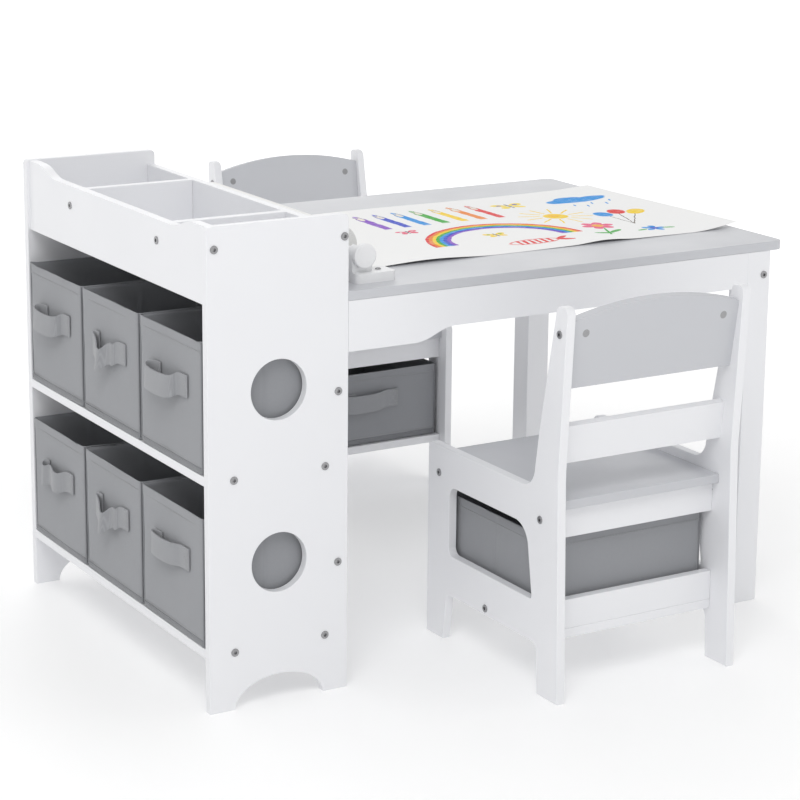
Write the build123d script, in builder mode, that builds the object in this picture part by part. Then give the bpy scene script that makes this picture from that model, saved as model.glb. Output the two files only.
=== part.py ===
"""Children's art table with an end storage unit, a paper roll and two chairs.

All boards are painted MDF joined with hex-socket bolts. X runs along the table, from the
storage unit at -X to the free end at +X. Y runs across it, from the near chair at -Y to the
far chair at +Y. The floor is z = 0 and the origin is under the middle of the whole set.
"""

from build123d import *
from math import cos, radians, tan
import os

os.makedirs("parts", exist_ok=True)

# ---------------------------------------------------------------- driving dimensions, mm
board = 12.0  # every MDF board
edge_round = 1.0  # rounding of a painted edge

unit_width = 190.0  # storage unit, along X
unit_depth = 556.0  # storage unit and tabletop, along Y
unit_height = 600.0
table_height = 505.0
table_length = 672.0  # tabletop beyond the storage unit
leg_size = 38.0
table_overhang = 22.0  # tabletop past the legs at the free end
apron_depth = 47.0
apron_step = 16.0  # the side aprons are this much deeper beside the unit

chair_width = 275.0
chair_depth = 306.0
chair_height = 500.0
near_chair_tuck = 124.0  # how far the near chair stands under the table
far_chair_gap = 114.0  # how far the far chair stands clear of the table

handle_reach = 12.0  # how far a bin's strap stands off its face
fit_gap = 0.5  # between a loose piece and what it stands in

bolt_radius = 3.0
bolt_head_radius = 5.0
bolt_head = 1.2
bolt_length = 40.0
socket_width = 4.0

# ---------------------------------------------------------------- where things stand
overall_length = unit_width + table_length + handle_reach
unit_left = handle_reach - overall_length / 2
unit_right = unit_left + unit_width
table_right = unit_right + table_length

near_chair_back = near_chair_tuck - chair_depth
far_chair_front = unit_depth + far_chair_gap
overall_depth = far_chair_front + chair_depth - near_chair_back
unit_front = -near_chair_back - overall_depth / 2
unit_back = unit_front + unit_depth
inner_front = unit_front + board
inner_back = unit_back - board
unit_middle = (unit_front + unit_back) / 2

near_chair_place = 382.0  # along the table, from the unit's left to the chair's near side
far_chair_place = 486.0
near_chair_x = unit_left + near_chair_place + chair_width / 2
far_chair_x = unit_left + far_chair_place + chair_width / 2


def placed(frame, plane):
    """A plane given in a piece's own frame, as it stands in the whole set."""
    return Plane(frame.location * plane.location)


def save(name, piece):
    """Labels a finished piece and writes it as the node of the same name."""
    piece.part.label = name
    export_step(piece.part, f"parts/{name}.step")


def slab(x0, x1, y0, y1, z0, z1):
    """A board or block between two corners, with its painted edges rounded."""
    with BuildPart(mode=Mode.PRIVATE) as block:
        with Locations(((x0 + x1) / 2, (y0 + y1) / 2, (z0 + z1) / 2)):
            Box(x1 - x0, y1 - y0, z1 - z0)
        fillet(block.edges(), edge_round)
    return block.part


def bore_along(axis, points, length, radius, mode=Mode.SUBTRACT):
    """Cylinders centred on the points, along X or Y, cut from or added to the open part."""
    turn = (0, 90, 0) if axis == "X" else (90, 0, 0)
    for point in points:
        with Locations(point):
            Cylinder(radius, length, rotation=turn, mode=mode)


# ================================================================ storage unit
lip_inset = 4.0  # the lip board stands a little behind the panels' edges
lip_x = unit_left + lip_inset
wall_x = unit_right - board
back_rail_inset = 20.0
back_rail_x = unit_right - back_rail_inset
tray_floor_z = 505.0
tray_wall_z = 581.0
middle_shelf_z = 285.0
bottom_shelf_z = 68.0
back_rail_height = 172.0
lip_bolt_z = 573.0
divider_bolt_z = 560.0
shelf_bolts = (34.0, 158.0)  # the two bolts in each end of a shelf, from the unit's left

panel_hole_radius = 37.5
panel_hole_heights = (179.0, 395.0)
arch_width = 122.0
arch_height = 36.0
panel_corner = 6.0

back_rail_bolt = unit_width - back_rail_inset + board / 2

# Where the bolts go through both side panels: (distance from the unit's left, height).
panel_bolts = (
    (lip_x + board / 2 - unit_left, lip_bolt_z),
    (unit_width - board / 2, lip_bolt_z),
    (shelf_bolts[0], middle_shelf_z + board / 2),
    (shelf_bolts[1], middle_shelf_z + board / 2),
    (shelf_bolts[0], bottom_shelf_z + board / 2),
    (shelf_bolts[1], bottom_shelf_z + board / 2),
    (back_rail_bolt, middle_shelf_z + board + back_rail_height / 2),
    (back_rail_bolt, bottom_shelf_z + board + back_rail_height / 2),
)
dividers = {"tray_divider_front": 143.0, "tray_divider_rear": 406.0}


def panel_bolt_points(y):
    """The bolts' places on a side panel, at the given Y."""
    return [(unit_left + x, y, z) for x, z in panel_bolts]


def bore_board_ends(x0, x1, z0, z1):
    """Bores the ends of a board that runs between the side panels, for the bolts that reach it."""
    reach = bolt_length - board
    for x, z in panel_bolts:
        if x0 < unit_left + x < x1 and z0 < z < z1:
            ends = [
                (unit_left + x, inner_front + reach / 2, z),
                (unit_left + x, inner_back - reach / 2, z),
            ]
            bore_along("Y", ends, reach, bolt_radius)


for name, y in (("side_panel_front", unit_front), ("side_panel_rear", inner_back)):
    with BuildPart() as side_panel:
        with BuildSketch(Plane.XZ.offset(-y)) as profile:
            with Locations((unit_left + unit_width / 2, unit_height / 2)):
                RectangleRounded(unit_width, unit_height, panel_corner)
            # square feet, with a low elliptical arch between them
            with Locations((unit_left + unit_width / 2, panel_corner)):
                Rectangle(unit_width, 2 * panel_corner)
            with Locations((unit_left + unit_width / 2, 0)):
                Ellipse(arch_width / 2, arch_height, mode=Mode.SUBTRACT)
            for z in panel_hole_heights:
                with Locations((unit_left + unit_width / 2, z)):
                    Circle(panel_hole_radius, mode=Mode.SUBTRACT)
        extrude(amount=-board)
        rims = side_panel.faces().filter_by(Axis.Y).edges().filter_by_position(
            Axis.Z, 2 * arch_height, unit_height
        )
        fillet(rims, edge_round)
        bore_along("Y", panel_bolt_points(y + board / 2), 2 * board, bolt_radius)
    save(name, side_panel)

with BuildPart() as tray_lip_board:
    # the top edge dips to a long, low scoop between two full-height shoulders
    with BuildSketch(Plane.YZ.offset(lip_x)) as profile:
        with BuildLine():
            shoulder = 30.0
            ramp = 62.0
            dip = unit_height - 14.0
            start = (inner_front, unit_height - 1)
            dip_start = (inner_front + shoulder + ramp, dip)
            dip_end = (inner_back - shoulder - ramp, dip)
            front_shoulder = (inner_front + shoulder, unit_height - 1)
            back_shoulder = (inner_back - shoulder, unit_height - 1)
            Line(start, front_shoulder)
            Spline(front_shoulder, dip_start, tangents=((1, 0), (1, 0)))
            Line(dip_start, dip_end)
            Spline(dip_end, back_shoulder, tangents=((1, 0), (1, 0)))
            Polyline(
                back_shoulder,
                (inner_back, unit_height - 1),
                (inner_back, tray_floor_z),
                (inner_front, tray_floor_z),
                start,
            )
        make_face()
    extrude(amount=board)
    bore_board_ends(lip_x, lip_x + board, tray_floor_z, unit_height)
    divider_points = [
        (lip_x + board / 2, unit_front + y, divider_bolt_z) for y in dividers.values()
    ]
    bore_along("X", divider_points, 2 * board, bolt_radius)
save("tray_lip_board", tray_lip_board)

with BuildPart() as tray_back_board:
    add(slab(wall_x, unit_right, inner_front, inner_back, tray_floor_z, tray_wall_z))
    bore_board_ends(wall_x, unit_right, tray_floor_z, tray_wall_z)
save("tray_back_board", tray_back_board)

with BuildPart() as tray_floor:
    add(slab(lip_x + board, wall_x, inner_front, inner_back, tray_floor_z, tray_floor_z + board))
save("tray_floor", tray_floor)

for name, y in dividers.items():
    y_middle = unit_front + y
    divider_bore = bolt_length - board
    with BuildPart() as divider:
        add(
            slab(
                lip_x + board,
                wall_x,
                y_middle - board / 2,
                y_middle + board / 2,
                tray_floor_z + board,
                tray_wall_z,
            )
        )
        bore_point = (lip_x + board + divider_bore / 2, y_middle, divider_bolt_z)
        bore_along("X", [bore_point], divider_bore, bolt_radius)
    save(name, divider)

for name, z in (("middle_shelf", middle_shelf_z), ("bottom_shelf", bottom_shelf_z)):
    with BuildPart() as shelf:
        add(slab(unit_left, unit_right, inner_front, inner_back, z, z + board))
        bore_board_ends(unit_left, unit_right, z, z + board)
    save(name, shelf)

for name, shelf_z in (("upper_back_rail", middle_shelf_z), ("lower_back_rail", bottom_shelf_z)):
    rail_z = shelf_z + board
    rail_top = rail_z + back_rail_height
    with BuildPart() as back_rail:
        add(slab(back_rail_x, back_rail_x + board, inner_front, inner_back, rail_z, rail_top))
        bore_board_ends(back_rail_x, back_rail_x + board, rail_z, rail_top)
    save(name, back_rail)

# ================================================================ table
top_under = table_height - board
leg_right = table_right - table_overhang
leg_left = leg_right - leg_size
end_apron_shift = 8.5  # the end apron stands this far outside the legs' middle
end_apron_x = leg_right - leg_size / 2 + end_apron_shift
apron_bottom = top_under - apron_depth
step_end = 96.0  # from the unit to where the deep part of a side apron starts to rise
step_rise = 55.0
leg_bolt_z = 461.0
long_bolt = 60.0  # through a leg into the end apron
top_corner = 12.0

with BuildPart() as table_top:
    with BuildSketch(Plane.XY.offset(top_under)) as outline:
        with BuildLine():
            Polyline(
                (table_right, unit_middle),
                (table_right, unit_front),
                (unit_right, unit_front),
                (unit_right, unit_back),
                (table_right, unit_back),
                (table_right, unit_middle),
            )
        make_face()
        free_corners = outline.vertices().group_by(Axis.X)[-1]
        corners = [v for v in free_corners if abs(v.Y - unit_middle) > 1]
        fillet(corners, top_corner)
    extrude(amount=board)
    flats = table_top.faces().filter_by(Axis.Z)
    fillet(flats.edges(), edge_round)
save("table_top", table_top)

for name, y in (("apron_front", unit_front), ("apron_rear", inner_back)):
    with BuildPart() as apron:
        with BuildSketch(Plane.XZ.offset(-y)) as profile:
            with BuildLine():
                deep = apron_bottom - apron_step
                rise_start = (unit_right + step_end, deep)
                rise_end = (unit_right + step_end + step_rise, apron_bottom)
                Polyline(
                    rise_end,
                    (leg_left, apron_bottom),
                    (leg_left, top_under),
                    (unit_right, top_under),
                    (unit_right, deep),
                    rise_start,
                )
                Spline(rise_start, rise_end, tangents=((1, 0.05), (1, 0.05)))
            make_face()
        extrude(amount=-board)
    save(name, apron)

with BuildPart() as apron_end:
    end_right = end_apron_x + board / 2
    apron_front_end = unit_front + leg_size
    apron_back_end = unit_back - leg_size
    add(
        slab(
            end_right - board,
            end_right,
            apron_front_end,
            apron_back_end,
            apron_bottom,
            top_under,
        )
    )
    reach = long_bolt - leg_size
    ends = [
        (end_apron_x, apron_front_end + reach / 2, leg_bolt_z),
        (end_apron_x, apron_back_end - reach / 2, leg_bolt_z),
    ]
    bore_along("Y", ends, reach, bolt_radius)
save("apron_end", apron_end)

for name, y in (("leg_front", unit_front), ("leg_rear", unit_back - leg_size)):
    with BuildPart() as leg:
        add(slab(leg_left, leg_right, y, y + leg_size, 0, top_under))
        leg_bore = [(end_apron_x, y + leg_size / 2, leg_bolt_z)]
        bore_along("Y", leg_bore, 2 * leg_size, bolt_radius)
    save(name, leg)

# ================================================================ bolts of the table and unit


def bolt(point, direction, length):
    """One hex-socket bolt: its head stands on the surface at point, its shank goes along direction."""
    bolt_plane = Plane(origin=point, z_dir=direction)
    with BuildPart(bolt_plane, mode=Mode.PRIVATE) as one_bolt:
        with Locations((0, 0, length / 2)):
            Cylinder(bolt_radius, length)
        with Locations((0, 0, -bolt_head / 2)):
            Cylinder(bolt_head_radius, bolt_head)
        with BuildSketch(bolt_plane.offset(-bolt_head)) as socket:
            RegularPolygon(socket_width / 2, 6, major_radius=False)
        extrude(amount=2 * bolt_head, mode=Mode.SUBTRACT)
        rim = one_bolt.edges().filter_by(GeomType.CIRCLE).sort_by(SortBy.RADIUS)[-2:]
        fillet(rim.sort_by_distance(bolt_plane.offset(-bolt_head).origin)[0], bolt_head / 3)
    return one_bolt.part


with BuildPart() as table_bolts:
    for x, y, z in panel_bolt_points(unit_front):
        add(bolt((x, y, z), (0, 1, 0), bolt_length))
    for x, y, z in panel_bolt_points(unit_back):
        add(bolt((x, y, z), (0, -1, 0), bolt_length))
    for y in dividers.values():
        add(bolt((lip_x, unit_front + y, divider_bolt_z), (1, 0, 0), bolt_length))
    add(bolt((end_apron_x, unit_front, leg_bolt_z), (0, 1, 0), long_bolt))
    add(bolt((end_apron_x, unit_back, leg_bolt_z), (0, -1, 0), long_bolt))
save("table_bolts", table_bolts)

# ================================================================ paper roll
roll_x = unit_left + 232.0
roll_z = table_height + 33.0
shaft_radius = 6.0
knob_radius = 15.5
knob_length = 8.0
bracket_face = 41.0  # from the tabletop's edge to a bracket's outer face
bracket_width = 28.0
foot_right = 42.0  # the bracket's foot runs this far past the shaft
roll_width = 356.0
roll_radius = 27.0
core_radius = 12.0
core_wall = 2.0
paper = 0.5  # stands for a sheet of drawing paper
sheet_fall = 40.0  # the sheet reaches the tabletop this far from the shaft
sheet_end = table_right - 1.0
running_gap = 0.3

with BuildPart() as roll_brackets:
    slot_radius = shaft_radius + running_gap
    for outer, inward in ((unit_front + bracket_face, 1), (unit_back - bracket_face, -1)):
        y_middle = outer + inward * board / 2
        # an upright cheek, open at the top so that the shaft drops in, on a screwed-down foot
        with BuildSketch(Plane.XZ.offset(-(y_middle - board / 2))) as cheek:
            with Locations((roll_x, (table_height + roll_z) / 2)):
                Rectangle(bracket_width, roll_z - table_height)
            with Locations((roll_x, roll_z)):
                Circle(bracket_width / 2)
                Circle(slot_radius, mode=Mode.SUBTRACT)
            with Locations((roll_x, roll_z + bracket_width / 2)):
                Rectangle(2 * slot_radius, bracket_width, mode=Mode.SUBTRACT)
        extrude(amount=-board)
        with BuildSketch(Plane.XY.offset(table_height)) as foot:
            with Locations((roll_x + (foot_right - bracket_width / 2) / 2, y_middle)):
                RectangleRounded(foot_right + bracket_width / 2, 3 * board, board / 2)
        extrude(amount=board)
save("roll_brackets", roll_brackets)

with BuildPart() as roll_shaft:
    shaft_half = unit_depth / 2 - bracket_face + knob_length
    bore_along("Y", [(roll_x, unit_middle, roll_z)], 2 * shaft_half, shaft_radius, Mode.ADD)
save("roll_shaft", roll_shaft)

with BuildPart() as roll_knobs:
    knob_offset = shaft_half - knob_length / 2 + 1.0
    for side in (-1, 1):
        knob_point = (roll_x, unit_middle + side * knob_offset, roll_z)
        bore_along("Y", [knob_point], knob_length, knob_radius, Mode.ADD)
    # a blind bore: the shaft stops 1 mm short of each knob's face
    bore_along("Y", [(roll_x, unit_middle, roll_z)], 2 * shaft_half, shaft_radius)
    rims = roll_knobs.edges().filter_by(GeomType.CIRCLE).group_by(SortBy.RADIUS)[-1]
    fillet(rims, 2.0)
save("roll_knobs", roll_knobs)

with BuildPart() as roll_core:
    core_point = [(roll_x, unit_middle, roll_z)]
    bore_along("Y", core_point, roll_width, core_radius, Mode.ADD)
    bore_along("Y", core_point, roll_width, core_radius - core_wall)
save("roll_core", roll_core)

with BuildPart() as roll_paper:
    bore_along("Y", core_point, roll_width - 2, roll_radius, Mode.ADD)
    bore_along("Y", core_point, roll_width, core_radius)
save("roll_paper", roll_paper)

with BuildPart() as paper_sheet:
    # the sheet leaves the underside of the roll, comes down and lies along the tabletop
    sheet_start_z = roll_z - roll_radius - running_gap - paper
    with BuildSketch(Plane.XZ.offset(-(unit_middle - roll_width / 2))) as sheet_profile:
        with BuildLine():
            under_roll = (roll_x, sheet_start_z)
            lands = (roll_x + sheet_fall, table_height)
            Spline(under_roll, lands, tangents=((1, 0), (1, 0)))
            Polyline(
                lands,
                (sheet_end, table_height),
                (sheet_end, table_height + paper),
                (lands[0], table_height + paper),
            )
            Spline(
                (lands[0], table_height + paper),
                (roll_x, sheet_start_z + paper),
                tangents=((-1, 0), (-1, 0)),
            )
            Line((roll_x, sheet_start_z + paper), under_roll)
        make_face()
    extrude(amount=-roll_width)
save("paper_sheet", paper_sheet)

# ================================================================ fabric storage bins
bin_columns = 3
bin_gap = 3.0
bin_depth = 165.0
bin_height = 163.0
bin_wall = 3.0
bin_width = (inner_back - inner_front - (bin_columns + 1) * bin_gap) / bin_columns
strap_width = 30.0
strap_length = 104.0
strap_thickness = 2.5
strap_sewn = 14.0  # flat at each end of a strap
strap_height = 0.62  # a strap's middle, as a share of the bin's height
chair_strap_height = 0.6


def fabric_bin(frame, width, depth, height):
    """An open-topped box in the given frame: its front face is y = 0 and its floor is z = 0."""
    with BuildPart(frame, mode=Mode.PRIVATE) as box:
        with Locations((0, depth / 2, height / 2)):
            Box(width, depth, height)
        with Locations((0, depth / 2, height / 2 + bin_wall)):
            Box(width - 2 * bin_wall, depth - 2 * bin_wall, height, mode=Mode.SUBTRACT)
    return box.part


def strap_handle(frame, length, middle_z):
    """A bowed fabric strap on the front face of a bin: it lies flat at both sewn ends."""
    with BuildPart(mode=Mode.PRIVATE) as strap:
        plane = placed(frame, Plane(origin=(0, 0, middle_z - strap_width / 2)))
        with BuildSketch(plane):
            with BuildLine():
                sewn = length / 2
                bow_start = sewn - strap_sewn
                outer = handle_reach - strap_thickness
                Line((-sewn, 0), (-bow_start, 0))
                Spline((-bow_start, 0), (0, -outer), (bow_start, 0), tangents=((1, 0), (1, 0)))
                Line((bow_start, 0), (sewn, 0))
                Line((sewn, 0), (sewn, -strap_thickness))
                Line((sewn, -strap_thickness), (bow_start, -strap_thickness))
                Spline(
                    (bow_start, -strap_thickness),
                    (0, -handle_reach),
                    (-bow_start, -strap_thickness),
                    tangents=((-1, 0), (-1, 0)),
                )
                Line((-bow_start, -strap_thickness), (-sewn, -strap_thickness))
                Line((-sewn, -strap_thickness), (-sewn, 0))
            make_face()
        extrude(amount=strap_width)
    return strap.part


rows = {
    "upper": middle_shelf_z + board + fit_gap,
    "lower": bottom_shelf_z + board + fit_gap,
}
columns = ("front", "middle", "rear")
for row, bin_z in rows.items():
    for index, column in enumerate(columns):
        bin_y = inner_front + bin_gap + bin_width / 2 + index * (bin_width + bin_gap)
        bin_frame = Plane(origin=(unit_left, bin_y, bin_z), x_dir=(0, -1, 0), z_dir=(0, 0, 1))
        with BuildPart() as storage_bin:
            add(fabric_bin(bin_frame, bin_width, bin_depth, bin_height))
        save(f"bin_{row}_{column}", storage_bin)
        with BuildPart() as bin_handle:
            add(strap_handle(bin_frame, strap_length, strap_height * bin_height))
        save(f"bin_{row}_{column}_handle", bin_handle)

# ================================================================ chairs
# A chair's frame has its origin on the floor at the middle of its front edge, x across it and
# y running from the front to the back.
inner_half = chair_width / 2 - board
seat_z = 238.0
seat_front = 14.0
seat_back = 276.0
seat_rail_height = 40.0
front_rail_height = 32.0
front_rail_y = 21.0
rear_rail_y = 252.0
lower_rail_y = 255.0
base_board_z = 68.0
base_board_front = 16.0
lower_rail_height = 38.0
arm_height = 262.0  # top of a side panel beside the seat
post_tilt = 8.6  # degrees, the backrest leans this much
post_y = 271.0  # the post's centre line is this far back...
post_z = 320.0  # ...at this height
backrest_bottom = 396.0
backrest_side = 86.0
backrest_middle = 104.0
mid_rail_bottom = 298.0
mid_rail_height = 49.0
chair_bolt_length = 36.0
chair_bin_height = 116.0
chair_bin_front = 22.0
chair_bin_back = 250.0
chair_bin_clearance = 4.5  # on each side
chair_side_bolts = ((27.0, 225.0), (261.0, 226.0), (142.0, 74.0))
backrest_bolt_z = 465.0
nut_inset = 22.0


def post_centre(z):
    """How far back the leaning post's centre line is at a height."""
    return post_y + (z - post_z) * tan(radians(post_tilt))


def leaning_plane(frame, z):
    """A plane across the chair, leaning with the posts; its origin is the post's centre line at z."""
    upright = Plane(origin=(0, post_centre(z), z), x_dir=(1, 0, 0), z_dir=(0, -1, 0))
    return placed(frame, upright.rotated((-post_tilt, 0, 0)))


def chair_side(frame, x):
    """A side panel: two legs, an arch between them, a window above it and the back post."""
    with BuildPart(mode=Mode.PRIVATE) as side:
        with BuildSketch(placed(frame, Plane.YZ.offset(x))) as profile:
            with BuildLine():
                Polyline(
                    (0, 0),
                    (0, arm_height),
                    (243, arm_height),
                    (254, 335),
                    (286, 499),
                    (309, chair_height),
                    (297, 290),
                    (306, 0),
                    (261, 0),
                    (257, 65),
                    (49, 65),
                    (41, 0),
                    (0, 0),
                )
            make_face()
            fillet(profile.vertices().sort_by_distance((0, arm_height))[0], 10)
            fillet(profile.vertices().sort_by_distance((243, arm_height))[0], 26)
            fillet(profile.vertices().sort_by_distance((254, 335))[0], 60)
            fillet(profile.vertices().sort_by_distance((286, 499))[0], 10)
            fillet(profile.vertices().sort_by_distance((309, chair_height))[0], 9)
            fillet(profile.vertices().sort_by_distance((297, 290))[0], 200)
            fillet(profile.vertices().sort_by_distance((257, 65))[0], 12)
            fillet(profile.vertices().sort_by_distance((49, 65))[0], 12)
            with BuildSketch(mode=Mode.SUBTRACT) as window:
                with BuildLine():
                    Polyline((52, 119), (52, 212), (231, 212), (246, 119), (52, 119))
                make_face()
                fillet(window.vertices().sort_by_distance((52, 119))[0], 10)
                fillet(window.vertices().sort_by_distance((52, 212))[0], 14)
                fillet(window.vertices().sort_by_distance((231, 212))[0], 30)
                fillet(window.vertices().sort_by_distance((246, 119))[0], 4)
        extrude(amount=board)
        across = side.faces().filter_by(Axis.X)
        fillet(across.edges(), edge_round)
    return side.part


def cross_board(frame, y0, y1, z0, z1, half_width=inner_half):
    """A board between the side panels of a chair."""
    block = slab(-half_width, half_width, y0, y1, z0, z1)
    return block.moved(frame.location)


def chair_bores(frame, points, length):
    """Bores both ends of a board between the side panels, at (y, z) points of the chair's frame."""
    for y, z in points:
        for side in (-1, 1):
            middle = side * (inner_half - length / 2)
            bore_plane = placed(frame, Plane(origin=(middle, y, z), z_dir=(1, 0, 0)))
            with Locations(bore_plane):
                Cylinder(bolt_radius, length, mode=Mode.SUBTRACT)


def build_chair(chair, frame):
    """All the pieces of one chair, with node names that start with the chair's name."""
    bore_length = chair_bolt_length - board
    back_bolt = (post_centre(backrest_bolt_z), backrest_bolt_z)
    through = [*chair_side_bolts, back_bolt]

    for side, x in (("right", -chair_width / 2), ("left", inner_half)):
        with BuildPart() as side_panel:
            add(chair_side(frame, x))
            for y, z in through:
                middle = (x + board / 2, y, z)
                bore_plane = placed(frame, Plane(origin=middle, z_dir=(1, 0, 0)))
                with Locations(bore_plane):
                    Cylinder(bolt_radius, 2 * board, mode=Mode.SUBTRACT)
        save(f"{chair}_side_{side}", side_panel)

    with BuildPart() as seat:
        add(cross_board(frame, seat_front, seat_back, seat_z, seat_z + board))
    save(f"{chair}_seat", seat)

    with BuildPart() as front_rail:
        z0 = seat_z - front_rail_height
        add(cross_board(frame, front_rail_y, front_rail_y + board, z0, seat_z))
        chair_bores(frame, chair_side_bolts[:1], bore_length)
    save(f"{chair}_front_rail", front_rail)

    with BuildPart() as rear_rail:
        z0 = seat_z - seat_rail_height
        add(cross_board(frame, rear_rail_y, rear_rail_y + board, z0, seat_z))
        chair_bores(frame, chair_side_bolts[1:2], bore_length)
    save(f"{chair}_rear_rail", rear_rail)

    with BuildPart() as base_board:
        y1 = lower_rail_y + board
        add(cross_board(frame, base_board_front, y1, base_board_z, base_board_z + board))
        chair_bores(frame, chair_side_bolts[2:], bore_length)
    save(f"{chair}_base_board", base_board)

    with BuildPart() as lower_rail:
        z0 = base_board_z + board
        add(cross_board(frame, lower_rail_y, lower_rail_y + board, z0, z0 + lower_rail_height))
    save(f"{chair}_lower_rail", lower_rail)

    with BuildPart() as mid_rail:
        with BuildSketch(leaning_plane(frame, mid_rail_bottom)):
            with Locations((0, mid_rail_height / 2)):
                Rectangle(2 * inner_half, mid_rail_height)
        extrude(amount=board / 2, both=True)
    save(f"{chair}_mid_rail", mid_rail)

    nut_height = (backrest_bolt_z - backrest_bottom) / cos(radians(post_tilt))
    nut_places = [(side * (inner_half - nut_inset), nut_height) for side in (-1, 1)]
    with BuildPart() as backrest:
        with BuildSketch(leaning_plane(frame, backrest_bottom)):
            with BuildLine():
                Polyline(
                    (-inner_half, backrest_side),
                    (-inner_half, 0),
                    (inner_half, 0),
                    (inner_half, backrest_side),
                )
                ThreePointArc(
                    (inner_half, backrest_side),
                    (0, backrest_middle),
                    (-inner_half, backrest_side),
                )
            make_face()
            with Locations(*nut_places):
                Circle(bolt_head_radius, mode=Mode.SUBTRACT)
        extrude(amount=board / 2, both=True)
        chair_bores(frame, [back_bolt], nut_inset)
    save(f"{chair}_backrest", backrest)

    with BuildPart() as bolts:
        # the backrest's two bolts screw into barrel nuts let into the board
        with BuildSketch(leaning_plane(frame, backrest_bottom)):
            with Locations(*nut_places):
                Circle(bolt_head_radius)
        extrude(amount=board / 2, both=True)
        for y, z in through:
            for side in (-1, 1):
                surface = (side * chair_width / 2, y, z)
                head = placed(frame, Plane(origin=surface, z_dir=(-side, 0, 0)))
                length = board + nut_inset if (y, z) == back_bolt else chair_bolt_length
                add(bolt(head.origin, head.z_dir, length))
    save(f"{chair}_bolts", bolts)

    bin_floor = base_board_z + board + fit_gap
    bin_place = placed(frame, Plane(origin=(0, chair_bin_front, bin_floor)))
    bin_half = inner_half - chair_bin_clearance
    with BuildPart() as chair_bin:
        depth = chair_bin_back - chair_bin_front
        add(fabric_bin(bin_place, 2 * bin_half, depth, chair_bin_height))
    save(f"{chair}_bin", chair_bin)
    with BuildPart() as chair_bin_handle:
        add(strap_handle(bin_place, strap_length, chair_strap_height * chair_bin_height))
    save(f"{chair}_bin_handle", chair_bin_handle)


near_front = unit_front + near_chair_tuck
far_front = unit_front + far_chair_front
near_frame = Plane(origin=(near_chair_x, near_front, 0), x_dir=(-1, 0, 0), z_dir=(0, 0, 1))
far_frame = Plane(origin=(far_chair_x, far_front, 0), x_dir=(1, 0, 0), z_dir=(0, 0, 1))
build_chair("near_chair", near_frame)
build_chair("far_chair", far_frame)
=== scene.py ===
import math

import bpy
from mathutils import Matrix, Vector


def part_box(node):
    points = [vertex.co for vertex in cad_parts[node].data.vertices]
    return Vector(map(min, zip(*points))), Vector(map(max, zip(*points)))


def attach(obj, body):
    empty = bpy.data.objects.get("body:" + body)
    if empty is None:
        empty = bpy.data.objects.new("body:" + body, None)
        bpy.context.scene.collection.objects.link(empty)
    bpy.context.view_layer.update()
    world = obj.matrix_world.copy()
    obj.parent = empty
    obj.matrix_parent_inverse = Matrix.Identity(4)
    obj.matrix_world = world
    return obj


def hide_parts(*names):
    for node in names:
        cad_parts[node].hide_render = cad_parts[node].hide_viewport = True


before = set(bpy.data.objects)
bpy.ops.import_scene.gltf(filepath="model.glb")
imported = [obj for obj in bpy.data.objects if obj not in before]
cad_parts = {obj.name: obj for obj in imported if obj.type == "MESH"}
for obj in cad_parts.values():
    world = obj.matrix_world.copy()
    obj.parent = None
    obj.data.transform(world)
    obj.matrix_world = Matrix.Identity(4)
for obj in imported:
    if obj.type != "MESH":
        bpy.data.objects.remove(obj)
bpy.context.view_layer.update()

# ---------------------------------------------------------------- the room
# A white studio sweep: a level floor that curves up into a wall behind the set. One large soft
# light stands high at the front left, a weaker one fills from the right, and the room is bright.
camera_data = bpy.data.cameras.new("camera")
camera_data.lens = 107.1
camera_data.sensor_width = 36
camera_data.shift_y = -0.1
camera_data.clip_end = 50
camera = bpy.data.objects.new("camera", camera_data)
bpy.context.scene.collection.objects.link(camera)
look_right, look_down, lean = math.radians(30.94), math.radians(13.12), math.radians(0.55)
camera.matrix_world = (
    Matrix.Translation((-1.6175, -2.8236, 1.1211))
    @ Matrix.Rotation(-look_right, 4, "Z")
    @ Matrix.Rotation(math.radians(90) - look_down, 4, "X")
    @ Matrix.Rotation(lean, 4, "Z")
)
bpy.context.scene.camera = camera
bpy.context.scene.view_settings.view_transform = "Standard"


def deselect():
    """Nothing is left selected, so that an operator acts only on what comes next."""
    if bpy.context.object and bpy.context.object.mode != "OBJECT":
        bpy.ops.object.mode_set(mode="OBJECT")
    bpy.ops.object.select_all(action="DESELECT")


def new_material(name):
    """A material with its shader and the coordinates that its pattern reads."""
    material = bpy.data.materials.new(name)
    material.use_nodes = True
    place = add_node(material, "TexCoord").outputs["Object"]
    return material, material.node_tree.nodes["Principled BSDF"], place


def add_node(material, kind, values=None, **settings):
    """A shader node with its settings and the values of its inputs."""
    node = material.node_tree.nodes.new("ShaderNode" + kind)
    for name, setting in settings.items():
        setattr(node, name, setting)
    set_inputs(node, values or {})
    return node


def set_inputs(node, values):
    """Gives inputs of a node their values."""
    for socket, value in values.items():
        node.inputs[socket].default_value = value


def feed(material, source, *sockets):
    """Links one output to each of the inputs."""
    for socket in sockets:
        material.node_tree.links.new(source, socket)


deselect()
floor_half, sweep_radius = 7.0, 1.5
bpy.ops.mesh.primitive_plane_add(size=2 * floor_half, location=(0, 0, 0))
floor = bpy.context.object
floor.name = "studio_floor"
bpy.ops.object.mode_set(mode="EDIT")
bpy.ops.mesh.select_all(action="DESELECT")
bpy.ops.object.mode_set(mode="OBJECT")
for edge in floor.data.edges:
    ends = [floor.data.vertices[i].co for i in edge.vertices]
    edge.select = all(end.y > floor_half - 0.01 for end in ends)
bpy.ops.object.mode_set(mode="EDIT")
bpy.ops.mesh.extrude_region_move(TRANSFORM_OT_translate={"value": (0, 0, floor_half)})
bpy.ops.mesh.select_all(action="DESELECT")
bpy.ops.object.mode_set(mode="OBJECT")
for edge in floor.data.edges:
    ends = [floor.data.vertices[i].co for i in edge.vertices]
    edge.select = all(end.y > floor_half - 0.01 and end.z < 0.01 for end in ends)
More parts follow.
